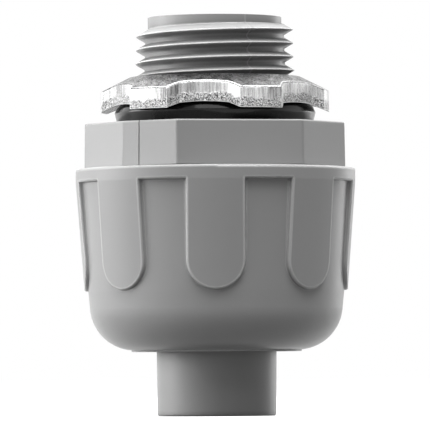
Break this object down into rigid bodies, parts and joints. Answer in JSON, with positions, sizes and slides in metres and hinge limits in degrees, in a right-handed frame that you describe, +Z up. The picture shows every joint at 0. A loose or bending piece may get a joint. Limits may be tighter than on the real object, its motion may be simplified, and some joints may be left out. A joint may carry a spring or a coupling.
{
  "type": "liquidtight conduit connector",
  "caption": "Straight connector that joins flexible liquidtight conduit to a box: threaded hub with locknut and gasket, wrench flange, and a ribbed gland nut over an inner ferrule.",
  "frame": {"origin": "centre of the ferrule's flat free end, on the fitting's axis", "axes": "+Z up the axis from the ferrule to the threaded hub; one tongue of the gland nut faces -Y"},
  "size_m": [0.0374, 0.0374, 0.0532],
  "materials": {
    "grey_plastic": "satin moulded",
    "pale_nylon": "smooth moulded",
    "seal_rubber": "soft matte",
    "black_rubber": "smooth, slightly glossy",
    "zinc_steel": "bright zinc plate"
  },
  "bodies": {
    "body": {"body": "grey_plastic", "ferrule": "grey_plastic", "conduit_seal": "seal_rubber"},
    "grip_ring": {"grip_ring": "pale_nylon"},
    "gland_nut": {"gland_nut": "grey_plastic"},
    "sealing_gasket": {"sealing_gasket": "black_rubber"},
    "locknut": {"locknut": "zinc_steel"}
  },
  "joints": [
    {"name": "gasket_lift", "type": "slide", "parent": "body", "child": "sealing_gasket", "axis": [0, 0, 1], "range_m": [0, 0.0109]},
    {"name": "locknut_turn", "type": "hinge", "parent": "sealing_gasket", "child": "locknut", "pos_m": [0, 0, 0.0443], "axis": [0, 0, 1], "range_deg": [0, 2160]},
    {"name": "grip_drop", "type": "slide", "parent": "body", "child": "grip_ring", "axis": [0, 0, 1], "range_m": [-0.00801, 0]},
    {"name": "gland_turn", "type": "hinge", "parent": "grip_ring", "child": "gland_nut", "pos_m": [0, 0, 0.02], "axis": [0, 0, 1], "range_deg": [-1440, 0]}
  ],
  "couplings": [
    {"joint": "gasket_lift", "follows": "locknut_turn", "m_per_rad": 0.00028875},
    {"joint": "grip_drop", "follows": "gland_turn", "m_per_rad": 0.00031831}
  ]
}
